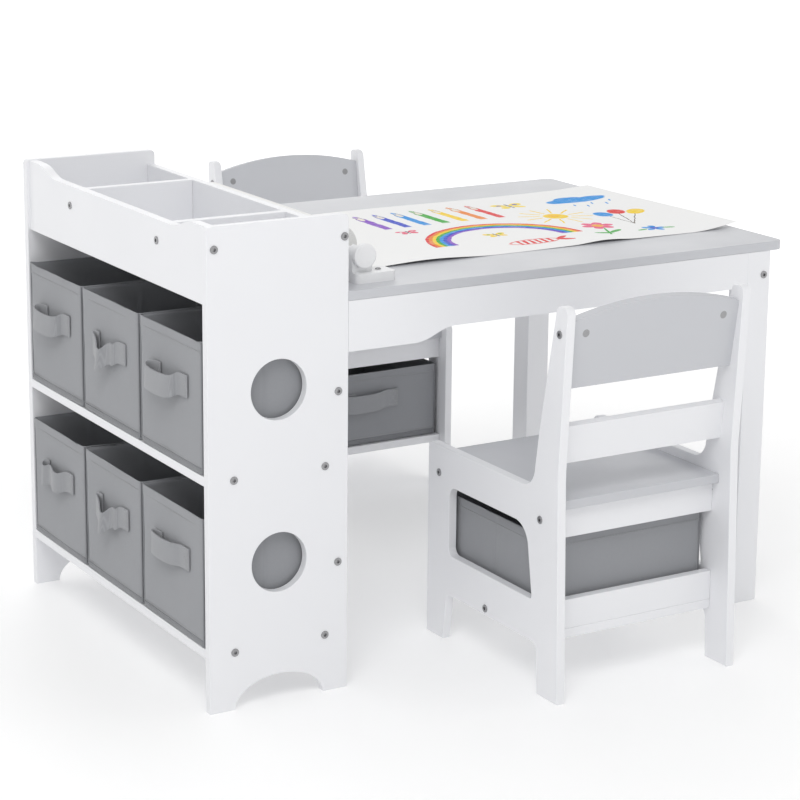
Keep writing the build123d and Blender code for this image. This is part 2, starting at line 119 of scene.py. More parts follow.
bpy.ops.object.mode_set(mode="EDIT")
bpy.ops.mesh.bevel(offset=sweep_radius, segments=16)
bpy.ops.object.mode_set(mode="OBJECT")
bpy.ops.object.shade_smooth()

# the backdrop is lit by itself, and the floor near the set hardly is
floor_paint, floor_shader, floor_place = new_material("floor_paint")
set_inputs(floor_shader, {
    "Base Color": (0.93, 0.93, 0.93, 1),
    "Roughness": 0.55,
    "Emission Color": (1, 1, 1, 1),
})
from_set = add_node(floor_paint, "VectorMath", operation="LENGTH")
glow = add_node(
    floor_paint, "MapRange", {"From Min": 0.6, "From Max": 3.5, "To Min": 0.16, "To Max": 0.42}
)
feed(floor_paint, floor_place, from_set.inputs[0])
feed(floor_paint, from_set.outputs["Value"], glow.inputs["Value"])
feed(floor_paint, glow.outputs["Result"], floor_shader.inputs["Emission Strength"])
floor.data.materials.append(floor_paint)

world = bpy.data.worlds.new("studio")
bpy.context.scene.world = world
world.use_nodes = True
set_inputs(world.node_tree.nodes["Background"], {"Color": (1, 1, 1, 1), "Strength": 0.64})

for name, place, size, watts in (
    ("key_light", (-1.6, -2.2, 2.9), 1.8, 34),
    ("fill_light", (2.6, -1.6, 1.8), 1.8, 6),
    ("back_light", (0.6, 2.6, 2.4), 2.0, 10),
):
    lamp = bpy.data.lights.new(name, "AREA")
    lamp.shape = "DISK"
    lamp.size = size
    lamp.energy = watts
    stand = bpy.data.objects.new(name, lamp)
    bpy.context.scene.collection.objects.link(stand)
    stand.location = place
    to_set = Vector((0, 0, 0.3)) - Vector(place)
    stand.rotation_euler = to_set.to_track_quat("-Z", "Y").to_euler()

# ---------------------------------------------------------------- painted boards
# Every board is 12 mm MDF, cut to shape, rounded along its edges, sanded and sprayed with a
# satin lacquer: white for the frames, light grey for the tabletop, the seats and the backrests.


def lacquer(name, colour, shade, roughness):
    """A sprayed coat: nearly even in colour, with faint orange peel and a sheen that varies."""
    material, shader, place = new_material(name)
    # the coat is a little thicker here and there
    drift = add_node(material, "TexNoise", {"Scale": 4.0, "Detail": 3.0})
    tone = add_node(material, "Mix", data_type="RGBA")
    set_inputs(tone, {"A": (*colour, 1), "B": (*shade, 1)})
    # hands leave it glossier in patches
    rubbed = add_node(material, "TexNoise", {"Scale": 11.0, "Detail": 5.0})
    sheen = add_node(material, "MapRange", {"From Min": 0.3, "From Max": 0.7})
    set_inputs(sheen, {"To Min": roughness - 0.06, "To Max": roughness + 0.08})
    peel = add_node(material, "TexNoise", {"Scale": 320.0, "Detail": 2.0})
    relief = add_node(material, "Bump", {"Strength": 0.12, "Distance": 0.0003})
    feed(material, place, drift.inputs["Vector"], rubbed.inputs["Vector"], peel.inputs["Vector"])
    feed(material, drift.outputs["Fac"], tone.inputs["Factor"])
    feed(material, tone.outputs["Result"], shader.inputs["Base Color"])
    feed(material, rubbed.outputs["Fac"], sheen.inputs["Value"])
    feed(material, sheen.outputs["Result"], shader.inputs["Roughness"])
    feed(material, peel.outputs["Fac"], relief.inputs["Height"])
    feed(material, relief.outputs["Normal"], shader.inputs["Normal"])
    set_inputs(shader, {"IOR": 1.5, "Coat Weight": 0.15, "Coat Roughness": 0.25})
    return material


def finish_nodes(names, material):
    """The CAD nodes with these names get the material."""
    for name in names:
        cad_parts[name].material_slots[0].material = material


chairs = ("near_chair", "far_chair")
white_parts = [
    "side_panel_front", "side_panel_rear", "tray_lip_board", "tray_back_board", "tray_floor",
    "tray_divider_front", "tray_divider_rear", "middle_shelf", "bottom_shelf",
    "upper_back_rail", "lower_back_rail", "apron_front", "apron_rear", "apron_end",
    "leg_front", "leg_rear", "roll_shaft",
]
grey_parts = ["table_top"]
chair_white = (
    "side_left", "side_right", "front_rail", "rear_rail", "base_board", "lower_rail", "mid_rail",
)
for chair in chairs:
    white_parts += [f"{chair}_{part}" for part in chair_white]
    grey_parts += [f"{chair}_seat", f"{chair}_backrest"]

white_coat = lacquer("white_lacquer", (0.86, 0.865, 0.885), (0.83, 0.835, 0.86), 0.36)
grey_coat = lacquer("grey_lacquer", (0.585, 0.593, 0.62), (0.55, 0.56, 0.59), 0.36)
finish_nodes(white_parts, white_coat)
finish_nodes(grey_parts, grey_coat)

# ---------------------------------------------------------------- bolts and barrel nuts
# Zinc-plated hex-socket bolts hold the boards. The backrests' bolts screw into barrel nuts, whose
# ends show as discs in the backrest. Turned steel, with fine marks and a trace of oil.


def plated_steel(name, colour):
    """Zinc plate: small dull spots, a fine relief, and a roughness that breaks up."""
    material, shader, place = new_material(name)
    shader.inputs["Metallic"].default_value = 1.0
    spots = add_node(material, "TexNoise", {"Scale": 900.0, "Detail": 4.0})
    tone = add_node(material, "Mix", data_type="RGBA")
    set_inputs(tone, {"A": (*colour, 1), "B": (*[0.7 * c for c in colour], 1)})
    dull = add_node(material, "MapRange", {"To Min": 0.24, "To Max": 0.46})
    relief = add_node(material, "Bump", {"Strength": 0.2, "Distance": 0.0001})
    feed(material, place, spots.inputs["Vector"])
    feed(material, spots.outputs["Fac"], tone.inputs["Factor"])
    feed(material, spots.outputs["Fac"], dull.inputs["Value"], relief.inputs["Height"])
    feed(material, tone.outputs["Result"], shader.inputs["Base Color"])
    feed(material, dull.outputs["Result"], shader.inputs["Roughness"])
    feed(material, relief.outputs["Normal"], shader.inputs["Normal"])
    return material


bolt_steel = plated_steel("zinc_plate", (0.42, 0.42, 0.43))
finish_nodes(["table_bolts", "near_chair_bolts", "far_chair_bolts"], bolt_steel)

# ---------------------------------------------------------------- fabric bins
# Open boxes of card panels in grey woven polyester. The panels are piped together at the upright
# corners, a binding runs round the foot, the rim is folded over and stitched, and the two side
# panels have a fold line so that the box folds flat.
MM = 0.001


def woven_cloth(name, colour, shade, pitch, roughness):
    """Plain weave: threads cross at the pitch, round every wall, with painted shade in the gaps
    between them, slubs and a soft nap.
    """
    material, shader, place = new_material(name)

    def threads(direction):
        """Parallel threads across the direction, from 0 to 1."""
        along = add_node(material, "VectorMath", operation="DOT_PRODUCT")
        along.inputs[1].default_value = [2 * math.pi / pitch * d for d in direction]
        wave = add_node(material, "Math", operation="SINE")
        raised = add_node(material, "Math", {1: 0.5, 2: 0.5}, operation="MULTIPLY_ADD")
        feed(material, place, along.inputs[0])
        feed(material, along.outputs["Value"], wave.inputs[0])
        feed(material, wave.outputs[0], raised.inputs[0])
        return raised.outputs[0]

    weave = add_node(material, "Math", operation="MAXIMUM")
    feed(material, threads((1, 1, 0)), weave.inputs[0])
    feed(material, threads((0, 0, 1)), weave.inputs[1])

    # slubs in the yarn and a broader unevenness, mixed in the shares 0.6 and 0.4
    slubs = add_node(material, "TexNoise", {"Scale": 260.0, "Detail": 4.0})
    drape = add_node(material, "TexNoise", {"Scale": 14.0})
    drape_share = add_node(material, "Math", {1: 0.4}, operation="MULTIPLY")
    blended = add_node(material, "Math", {1: 0.6}, operation="MULTIPLY_ADD")
    mottle = add_node(material, "Mix", data_type="RGBA")
    set_inputs(mottle, {"A": (*colour, 1), "B": (*shade, 1)})
    # the gaps between the threads are painted darker: painted shade in the hollows of the weave
    weave_gap_shade = add_node(material, "Mix", data_type="RGBA")
    set_inputs(weave_gap_shade, {"A": (*[0.72 * c for c in colour], 1)})
    feed(material, place, slubs.inputs["Vector"], drape.inputs["Vector"])
    feed(material, drape.outputs["Fac"], drape_share.inputs[0])
    feed(material, slubs.outputs["Fac"], blended.inputs[0])
    feed(material, drape_share.outputs[0], blended.inputs[2])
    feed(material, blended.outputs[0], mottle.inputs["Factor"])
    feed(material, weave.outputs[0], weave_gap_shade.inputs["Factor"])
    feed(material, mottle.outputs["Result"], weave_gap_shade.inputs["B"])
    feed(material, weave_gap_shade.outputs["Result"], shader.inputs["Base Color"])

    height = add_node(material, "Math", {1: 0.7}, operation="MULTIPLY_ADD")
    relief = add_node(material, "Bump", {"Strength": 0.35, "Distance": 0.0003})
    feed(material, slubs.outputs["Fac"], height.inputs[0])
    feed(material, weave.outputs[0], height.inputs[2])
    feed(material, height.outputs[0], relief.inputs["Height"])
    feed(material, relief.outputs["Normal"], shader.inputs["Normal"])
    set_inputs(shader, {"Roughness": roughness, "Sheen Weight": 0.25, "Sheen Roughness": 0.5})
    return material


bin_grey, bin_grey_shade = (0.34, 0.348, 0.368), (0.295, 0.303, 0.322)
trim_grey, trim_grey_shade = (0.25, 0.257, 0.272), (0.21, 0.217, 0.232)
thread_grey, thread_grey_shade = (0.43, 0.435, 0.445), (0.37, 0.375, 0.385)
bin_cloth = woven_cloth("bin_cloth", bin_grey, bin_grey_shade, 1.1 * MM, 0.88)
piping_cloth = woven_cloth("piping_cloth", trim_grey, trim_grey_shade, 0.8 * MM, 0.82)
thread = woven_cloth("sewing_thread", thread_grey, thread_grey_shade, 0.4 * MM, 0.6)
stitch_length, stitch_pitch, stitch_width = 2.8 * MM, 4.6 * MM, 0.6 * MM
bin_corner = 5.0 * MM
hem_height, binding_height = 15.0 * MM, 8.0 * MM
wall = 2.6 * MM
fold_half, fold_sink = 4 * MM, 1.6 * MM  # the fold line down each side

soft_dents = bpy.data.textures.new("soft_dents", "CLOUDS")
soft_dents.noise_depth = 1


def choose(piece):
    """Only this piece is selected and active."""
    deselect()
    piece.select_set(True)
    bpy.context.view_layer.objects.active = piece
    return piece


def apply_all(piece):
    """Every modifier on the piece becomes part of its mesh."""
    choose(piece)
    for modifier in list(piece.modifiers):
        bpy.ops.object.modifier_apply(modifier=modifier.name)
    return piece


def line_of(points, closed=False, name="line"):
    """A bare curve of straight runs through the points, for a tube or a row of stitches."""
    path = bpy.data.curves.new(name, "CURVE")
    path.dimensions = "3D"
    spline = path.splines.new("POLY")
    spline.points.add(len(points) - 1)
    for knot, point in zip(spline.points, points):
        knot.co = (*point, 1)
    spline.use_cyclic_u = closed
    curve = bpy.data.objects.new(name, path)
    bpy.context.scene.collection.objects.link(curve)
    return curve


def cord_along(points, radius, closed=False):
    """A round piping cord through the points, as a mesh."""
    curve = line_of(points, closed)
    curve.data.bevel_depth = radius
    curve.data.bevel_resolution = 3
    curve.data.use_fill_caps = True
    choose(curve)
    bpy.ops.object.convert(target="MESH")
    bpy.ops.object.shade_smooth()
    bpy.context.object.data.materials.append(piping_cloth)
    return bpy.context.object


def stitches_along(points, closed=False):
    """One rounded stitch, repeated along the points."""
    curve = line_of(points, closed)
    deselect()
    bpy.ops.mesh.primitive_cube_add(size=1, location=(stitch_length / 2, 0, 0))
    row = bpy.context.object
    row.scale = (stitch_length, stitch_width, stitch_width)
    bpy.ops.object.transform_apply(location=True, rotation=False, scale=True)
    bevel = row.modifiers.new("rounded", "BEVEL")
    bevel.width = stitch_width / 3
    bevel.segments = 1
    array = row.modifiers.new("row", "ARRAY")
    array.fit_type = "FIT_CURVE"
    array.curve = curve
    array.use_relative_offset = False
    array.use_constant_offset = True
    array.constant_offset_displace = (stitch_pitch, 0, 0)
    follow = row.modifiers.new("follow", "CURVE")
    follow.object = curve
    apply_all(row)
    row.data.materials.append(thread)
    bpy.data.objects.remove(curve)
    return row


def join(pieces, name):
    """The pieces become one mesh, under one name."""
    choose(pieces[0])
    for piece in pieces:
        piece.select_set(True)
    bpy.ops.object.join()
    whole = bpy.context.object
    whole.name = whole.data.name = name
    return whole


def rounded_outline(width, depth, radius, z, proud=0.0):
    """Points round a bin's walls at a height; the front is y = 0 and the back is y = depth."""
    points = []
    for x, y, start in ((1, 1, 0), (-1, 1, 90), (-1, 0, 180), (1, 0, 270)):
        centre = Vector((x * (width / 2 - radius), radius if y == 0 else depth - radius, z))
        for step in range(4):
            angle = math.radians(start + 30 * step)
            outward = Vector((math.cos(angle), math.sin(angle), 0))
            points.append(centre + (radius + proud) * outward)
    return points


def select_faces(piece, test):
    """Selects the faces whose centre and normal pass the test, for the next edit."""
    choose(piece)
    bpy.ops.object.mode_set(mode="EDIT")
    bpy.ops.mesh.select_mode(type="FACE")
    bpy.ops.mesh.select_all(action="DESELECT")
    bpy.ops.object.mode_set(mode="OBJECT")
    for face in piece.data.polygons:
        face.select = test(face.center, face.normal)
    bpy.ops.object.mode_set(mode="EDIT")


def select_edges(piece, test):
    """Selects the edges whose two ends pass the test, for the next edit."""
    choose(piece)
    bpy.ops.object.mode_set(mode="EDIT")
    bpy.ops.mesh.select_mode(type="EDGE")
    bpy.ops.mesh.select_all(action="DESELECT")
    bpy.ops.object.mode_set(mode="OBJECT")
    corners = piece.data.vertices
    for edge in piece.data.edges:
        edge.select = test(corners[edge.vertices[0]].co, corners[edge.vertices[1]].co)
    bpy.ops.object.mode_set(mode="EDIT")


def cut_across(piece, place, normal):
    """Cuts every face of the piece along a plane."""
    choose(piece)
    bpy.ops.object.mode_set(mode="EDIT")
    bpy.ops.mesh.select_all(action="SELECT")
    bpy.ops.mesh.bisect(plane_co=place, plane_no=normal)
    bpy.ops.object.mode_set(mode="OBJECT")


def sewn_box(width, depth, height, sag):
    """A bin's body: front at y = 0, foot at z = 0, open above. sag is how far its rim droops."""
    deselect()
    bpy.ops.mesh.primitive_cube_add(size=1, location=(0, depth / 2, height / 2))
    box = bpy.context.object
    box.scale = (width, depth, height)
    bpy.ops.object.transform_apply(location=True, rotation=False, scale=True)
    select_faces(box, lambda centre, normal: normal.z > 0.5)
    bpy.ops.mesh.delete(type="FACE")
    select_edges(box, lambda a, b: abs(a.z - b.z) > height / 2)
    bpy.ops.mesh.bevel(offset=bin_corner, segments=3)
    bpy.ops.object.mode_set(mode="OBJECT")
    select_edges(box, lambda a, b: a.z < MM and b.z < MM)
    bpy.ops.mesh.bevel(offset=2 * MM, segments=2)
    bpy.ops.object.mode_set(mode="OBJECT")
    for z in (binding_height, height - hem_height):
        cut_across(box, (0, 0, z), (0, 0, 1))
    cells = 9
    plain = height - hem_height - binding_height
    for step in range(1, cells):
        cut_across(box, (0, 0, binding_height + plain * step / cells), (0, 0, 1))
        cut_across(box, (width * (step / cells - 0.5), 0, 0), (1, 0, 0))
        cut_across(box, (0, depth * step / cells, 0), (0, 1, 0))
    for y in (-fold_half, 0, fold_half):
        cut_across(box, (0, depth / 2 + y, 0), (0, 1, 0))

    # the folded hem and the binding at the foot are a layer thicker
    hem_foot = height - hem_height
    for low, high, layer in ((hem_foot, height, 0.5 * MM), (0, binding_height, 0.7 * MM)):
        select_faces(box, lambda centre, normal: abs(normal.z) < 0.5 and low < centre.z < high)
        bpy.ops.mesh.extrude_region_shrink_fatten(TRANSFORM_OT_shrink_fatten={"value": layer})
        bpy.ops.object.mode_set(mode="OBJECT")

    for corner in box.data.vertices:
        point = corner.co
        up = point.z / height
        across = 2 * point.x / width
        along = 2 * point.y / depth - 1
        if abs(along) < 0.95 and abs(across) > 0.9:
            fold = max(0.0, 1 - abs(point.y - depth / 2) / fold_half)
            sink = fold_sink * fold * (1 - abs(2 * up - 1) ** 6)
            bow = (1 - along * along) * up
            point.x -= math.copysign(sink + sag * bow, across)
            point.z -= 0.6 * sag * bow * up
        elif abs(across) < 0.95:
            point.y += math.copysign(sag * (1 - across * across) * up, -along)
            point.z -= 0.5 * sag * (1 - across * across) * up

    dents = box.modifiers.new("dents", "DISPLACE")
    dents.texture = soft_dents
    dents.texture_coords = "LOCAL"
    dents.strength = 2.2 * MM
    dents.mid_level = 0.62
    skin = box.modifiers.new("wall", "SOLIDIFY")
    skin.thickness = wall
    skin.offset = -1
    smooth = box.modifiers.new("smooth", "SUBSURF")
    smooth.levels = smooth.render_levels = 1
    apply_all(box)
    bpy.ops.object.shade_smooth()
    box.data.materials.append(bin_cloth)
    box.data.materials.append(piping_cloth)
    for face in box.data.polygons:
        face.material_index = 1 if face.center.z < binding_height else 0
    return box


def trimmed_bin(width, depth, height, sag):
    """A bin's body with its piping and its rows of stitches, in the bin's own place."""
    body = sewn_box(width, depth, height, sag)
    trims = [body]
    inset = bin_corner * (1 - math.sqrt(0.5))
    for x in (-1, 1):
        for y in (inset, depth - inset):
            top, foot = height - 1.5 * MM, 3 * MM
            heights = [foot + (top - foot) * k / 6 for k in range(7)]
            corner = [Vector((x * (width / 2 - inset), y, z)) for z in heights]
            trims.append(cord_along(corner, 1.2 * MM))
    foot_line = rounded_outline(width, depth, bin_corner, binding_height, 0.3 * MM)
    trims.append(cord_along(foot_line, 0.9 * MM, True))
    for z in (binding_height + 3 * MM, height - hem_height + 2.5 * MM):
        trims.append(stitches_along(rounded_outline(width, depth, bin_corner, z, 0.1 * MM), True))
    return join(trims, "bin_pattern")


# ---------------------------------------------------------------- strap handles
# Each bin has a strip of the same cloth, folded double and edge-stitched. Both ends are sewn to the
# front panel, the shown one with a stitched square. The strip is longer than the gap between its
# ends, so it stands off the panel in a loop that droops or is pinched.
strap_grey, strap_grey_shade = (0.36, 0.367, 0.385), (0.315, 0.322, 0.34)
strap_cloth = woven_cloth("strap_cloth", strap_grey, strap_grey_shade, 1.0 * MM, 0.85)
strap_width, strap_thickness = 28 * MM, 1.7 * MM
loops = {  # each knot of a strap: its place across the panel and how far it stands off, in mm
    "round": [
        (-24, 1), (-38, 1.4), (-50, 4), (-52, 9), (-43, 13.2), (-22, 14.6), (2, 14.2), (18, 12.5),
        (25, 8), (24, 3), (31, 1.2), (50, 1.1),
    ],
    "pinched": [
        (-30, 1), (-44, 1.2), (-47, 3.5), (-38, 5), (-26, 8), (-14, 13), (-5, 15.5), (1, 15),
        (5, 9), (12, 5), (20, 7), (24, 4), (28, 1.2), (50, 1.1),
    ],
    "flat": [
        (-26, 1), (-40, 1.2), (-48, 3), (-47, 6.5), (-36, 8.5), (-14, 9), (6, 8), (18, 5), (25, 2),
        (32, 1.2), (50, 1.1),
    ],
    "folded": [
        (-30, 1), (-41, 1.2), (-45, 4), (-40, 9), (-31, 10), (-25, 6), (-18, 4.5), (-6, 8), (6, 10),
        (17, 8), (24, 3), (31, 1.2), (50, 1.1),
    ],
}


def strap_handle(shape, droop):
    """A loop of strap on a bin's front: centred on x = 0 and z = 0, and sewn to y = 0."""
    outline = bpy.data.curves.new("strap", "CURVE")
    outline.dimensions = "2D"
    outline.extrude = strap_width / 2
    outline.resolution_u = 5
    spline = outline.splines.new("NURBS")
    spline.points.add(len(loops[shape]) - 1)
    for knot, (x, reach) in zip(spline.points, loops[shape]):
        knot.co = (x * MM, -reach * MM, 0, 1)
    spline.order_u = 4
    spline.use_endpoint_u = True
    strap = bpy.data.objects.new("strap", outline)
    bpy.context.scene.collection.objects.link(strap)
    choose(strap)
    bpy.ops.object.convert(target="MESH")
    strap = bpy.context.object
    bpy.ops.object.mode_set(mode="EDIT")
    bpy.ops.mesh.select_all(action="SELECT")
    bpy.ops.mesh.remove_doubles(threshold=0.05 * MM)
    bpy.ops.object.mode_set(mode="OBJECT")
    for z in (-0.34, 0, 0.34):
        cut_across(strap, (0, 0, z * strap_width), (0, 0, 1))

    def hang(point):
        """The loose part droops, and its lower edge stands further out than its upper one."""
        loose = max(0.0, (-point.y - 1.5 * MM) / (13 * MM))
        point.z -= droop * loose + 0.12 * loose * abs(point.z)
        point.y *= 1 - 0.10 * loose * point.z / (strap_width / 2)

    for corner in strap.data.vertices:
        hang(corner.co)
    skin = strap.modifiers.new("cloth", "SOLIDIFY")
    skin.thickness = strap_thickness
    skin.offset = 0
    bevel = strap.modifiers.new("fold", "BEVEL")
    bevel.width = 0.5 * MM
    bevel.segments = 2
    bevel.limit_method = "ANGLE"
    apply_all(strap)
    bpy.ops.object.shade_smooth()
    strap.data.materials.append(strap_cloth)

    # the sewn square over the shown end
    half = strap_width / 2 - 3.5 * MM
    face = -1.1 * MM - strap_thickness / 2 - 0.1 * MM
    left, right = 33 * MM, 48 * MM
    corners = ((left, -half), (right, -half), (right, half), (left, half))
    square = [Vector((x, face, z)) for x, z in corners]
    sewing = [stitches_along(square, True)]
    sewing.append(stitches_along([square[0], square[2]]))
    sewing.append(stitches_along([square[1], square[3]]))
    return join([strap, *sewing], "strap_pattern")


droops = {"round": 5 * MM, "pinched": 13 * MM, "flat": 3 * MM, "folded": 9 * MM}
strap_patterns = {shape: strap_handle(shape, droop) for shape, droop in droops.items()}

# ---------------------------------------------------------------- bins and straps in their places
# The six bins of the storage unit and the one under each seat are the same make in two sizes. Each
# stands loose on its shelf, with its strap sewn to the front a little above the middle.


def standing_at(place, x_axis):
    """The matrix that puts a piece made at a bin's own front into the set."""
    x_axis = Vector(x_axis)
    y_axis = Vector((0, 0, 1)).cross(x_axis)
    turn = Matrix((x_axis, y_axis, Vector((0, 0, 1)))).transposed().to_4x4()
    return Matrix.Translation(place) @ turn


def set_down(pattern, name, matrix, body, slot, *replaced):
    """A copy of a finished pattern, in its place, riding on its body."""
    piece = pattern.copy()
    piece.data = pattern.data.copy()
    piece.name = piece.data.name = name
    bpy.context.scene.collection.objects.link(piece)
    piece.data.transform(matrix)
    piece.data.update()
    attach(piece, body)
    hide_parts(*replaced)
    return piece


def front_of(node, x_axis):
    """Where a bin's front meets its foot, at the middle of its width, from its CAD box."""
    low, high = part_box(node)
    if x_axis[0] == 0:
        return low.x, (low.y + high.y) / 2, low.z
    return (low.x + high.x) / 2, high.y if x_axis[0] < 0 else low.y, low.z


air = 1.5 * MM  # at the sides of a bin
low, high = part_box("bin_upper_front")
storage_size = (high.y - low.y - air, high.x - low.x, high.z - low.z)
chair_low, chair_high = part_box("near_chair_bin")
chair_depth, chair_height = chair_high.y - chair_low.y, chair_high.z - chair_low.z
chair_size = (chair_high.x - chair_low.x - air, chair_depth, chair_height)

# a bin's size, the way its width runs, and its strap's height as a share of its own
storage = (storage_size, (0, -1, 0), 0.62)
near_seat, far_seat = (chair_size, (-1, 0, 0), 0.60), (chair_size, (1, 0, 0), 0.60)
bins = {  # the strap's shape, the rim's sag in mm, and where the bin belongs
    "bin_upper_front": ("round", 1.0, *storage),
    "bin_upper_middle": ("pinched", 0.6, *storage),
    "bin_upper_rear": ("round", 0.8, *storage),
    "bin_lower_front": ("flat", 0.7, *storage),
    "bin_lower_middle": ("pinched", 1.1, *storage),
    "bin_lower_rear": ("folded", 0.9, *storage),
    "near_chair_bin": ("round", 1.2, *near_seat),
    "far_chair_bin": ("flat", 1.2, *far_seat),
}
for name, (shape, sag, size, x_axis, strap_share) in bins.items():
    if size is storage_size:  # the wider bins are all dented alike
        soft_dents.noise_scale = 0.045 + 0.01 * sag
    pattern = trimmed_bin(*size, sag * MM)
    matrix = standing_at(front_of(name, x_axis), x_axis)
    set_down(pattern, f"{name}_cloth", matrix, name, "bin_fabric", name)
    bpy.data.objects.remove(pattern)
    lift = Matrix.Translation((0, 0, strap_share * size[2]))
    strap = strap_patterns[shape]
    set_down(strap, f"{name}_strap", matrix @ lift, name, "strap_fabric", f"{name}_handle")
for pattern in strap_patterns.values():
    bpy.data.objects.remove(pattern)

# ---------------------------------------------------------------- paper roll and its holders
# A roll of drawing paper on a card core turns on a dowel. Two moulded holders are screwed to the
# tabletop, each with one screw through its foot, and a moulded knob closes each end of the dowel.


def moulded_plastic(name, colour, roughness):
    """Injection-moulded plastic: a fine spark-eroded grain and faint flow marks."""
    material, shader, place = new_material(name)
    grain = add_node(material, "TexNoise", {"Scale": 1500.0, "Detail": 2.0})
    flow = add_node(material, "TexNoise", {"Scale": 40.0, "Distortion": 1.5})
    tone = add_node(material, "Mix", data_type="RGBA")
    set_inputs(tone, {"A": (*colour, 1), "B": (*[0.95 * c for c in colour], 1)})
    sheen = add_node(material, "MapRange")
    set_inputs(sheen, {"To Min": roughness - 0.05, "To Max": roughness + 0.08})
    relief = add_node(material, "Bump", {"Strength": 0.15, "Distance": 0.0001})
    feed(material, place, grain.inputs["Vector"], flow.inputs["Vector"])
    feed(material, flow.outputs["Fac"], tone.inputs["Factor"], sheen.inputs["Value"])
    feed(material, grain.outputs["Fac"], relief.inputs["Height"])
    feed(material, tone.outputs["Result"], shader.inputs["Base Color"])
    feed(material, sheen.outputs["Result"], shader.inputs["Roughness"])
    feed(material, relief.outputs["Normal"], shader.inputs["Normal"])
    return material


def rolled_paper(name, colour, layer_shade_colour, centre_x, centre_z, layer):
    """Paper wound round an axis along Y: its ends show the layers, with painted shade between them,
    and its outside is matt.
    """
    material, shader, place = new_material(name)
    # the distance from the axis, as light rings and dark rings of painted shade between the layers,
    # one layer apart
    centred = add_node(material, "VectorMath", {1: (centre_x, 0, centre_z)}, operation="SUBTRACT")
    across = add_node(material, "VectorMath", {1: (1, 0, 1)}, operation="MULTIPLY")
    radius = add_node(material, "VectorMath", operation="LENGTH")
    turns = add_node(material, "Math", {1: 2 * math.pi / layer}, operation="MULTIPLY")
    rings = add_node(material, "Math", operation="SINE")
    dark = add_node(material, "MapRange", {"From Min": -1, "To Max": 0.8})
    feed(material, place, centred.inputs[0])
    feed(material, centred.outputs[0], across.inputs[0])
    feed(material, across.outputs[0], radius.inputs[0])
    feed(material, radius.outputs["Value"], turns.inputs[0])
    feed(material, turns.outputs[0], rings.inputs[0])
    feed(material, rings.outputs[0], dark.inputs["Value"])

    # they show only where the surface faces along the axis
    surface = add_node(material, "NewGeometry")
    facing = add_node(material, "SeparateXYZ")
    on_end = add_node(material, "Math", operation="ABSOLUTE")
    amount = add_node(material, "Math", operation="MULTIPLY")
    tone = add_node(material, "Mix", data_type="RGBA")
    set_inputs(tone, {"A": (*colour, 1), "B": (*layer_shade_colour, 1)})
    feed(material, surface.outputs["Normal"], facing.inputs[0])
    feed(material, facing.outputs["Y"], on_end.inputs[0])
    feed(material, on_end.outputs[0], amount.inputs[0])
    feed(material, dark.outputs["Result"], amount.inputs[1])
    feed(material, amount.outputs[0], tone.inputs["Factor"])
    feed(material, tone.outputs["Result"], shader.inputs["Base Color"])

    fibre = add_node(material, "TexNoise", {"Scale": 700.0, "Detail": 5.0})
    relief = add_node(material, "Bump", {"Strength": 0.15, "Distance": 0.0002})
    feed(material, place, fibre.inputs["Vector"])
    feed(material, fibre.outputs["Fac"], relief.inputs["Height"])
    feed(material, relief.outputs["Normal"], shader.inputs["Normal"])
    shader.inputs["Roughness"].default_value = 0.85
    return material


shaft_low, shaft_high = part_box("roll_shaft")
roll_x, roll_z = (shaft_low.x + shaft_high.x) / 2, (shaft_low.z + shaft_high.z) / 2
holder_plastic = moulded_plastic("holder_plastic", (0.84, 0.845, 0.855), 0.38)
finish_nodes(["roll_brackets", "roll_knobs"], holder_plastic)
# the grey on the roll's ends and the darker brown on the core's ends are painted shade between the
# wound layers
white, paper_layer_shade = (0.90, 0.90, 0.885), (0.55, 0.55, 0.53)
card, card_layer_shade = (0.42, 0.31, 0.20), (0.26, 0.18, 0.11)
roll_finish = rolled_paper("roll_layers", white, paper_layer_shade, roll_x, roll_z, 0.8 * MM)
core_finish = rolled_paper("card_core", card, card_layer_shade, roll_x, roll_z, 0.5 * MM)
finish_nodes(["roll_paper"], roll_finish)
finish_nodes(["roll_core"], core_finish)

# a pan-head screw with a cross recess in each holder's foot
screw_radius, screw_rise, recess = 3.6 * MM, 1.8 * MM, 0.8 * MM
holder_low, holder_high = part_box("roll_brackets")
foot_thickness, screw_from_end, screw_from_side = 12 * MM, 16 * MM, 18 * MM
foot_top = foot_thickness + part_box("table_top")[1].z
screws = {"front": holder_low.y + screw_from_side, "rear": holder_high.y - screw_from_side}
for name, y in screws.items():
    deselect()
    place = Vector((holder_high.x - screw_from_end, y, foot_top))
    middle = place + Vector((0, 0, screw_rise / 2))
    bpy.ops.mesh.primitive_cylinder_add(
        vertices=32, radius=screw_radius, depth=screw_rise, location=middle
    )
    screw = bpy.context.object
    screw.name = screw.data.name = f"holder_screw_{name}"
    bpy.ops.object.transform_apply(location=True, rotation=False, scale=False)
    select_edges(screw, lambda a, b: min(a.z, b.z) > middle.z)
    bpy.ops.mesh.bevel(offset=1.1 * MM, segments=4)
    bpy.ops.object.mode_set(mode="OBJECT")
    slot_length, slot_depth = 1.44 * screw_radius, 1.6 * screw_rise
    for size in ((slot_length, recess, slot_depth), (recess, slot_length, slot_depth)):
        deselect()
        bpy.ops.mesh.primitive_cube_add(size=1, location=place + Vector((0, 0, screw_rise)))
        cutter = bpy.context.object
        cutter.scale = size
        cut = screw.modifiers.new("recess", "BOOLEAN")
        cut.operation = "DIFFERENCE"
        cut.object = cutter
        bpy.context.view_layer.update()
        apply_all(screw)
        bpy.data.objects.remove(cutter)
    bpy.ops.object.shade_smooth_by_angle(angle=math.radians(30))
    screw.data.materials.append(bolt_steel)
    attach(screw, "table")

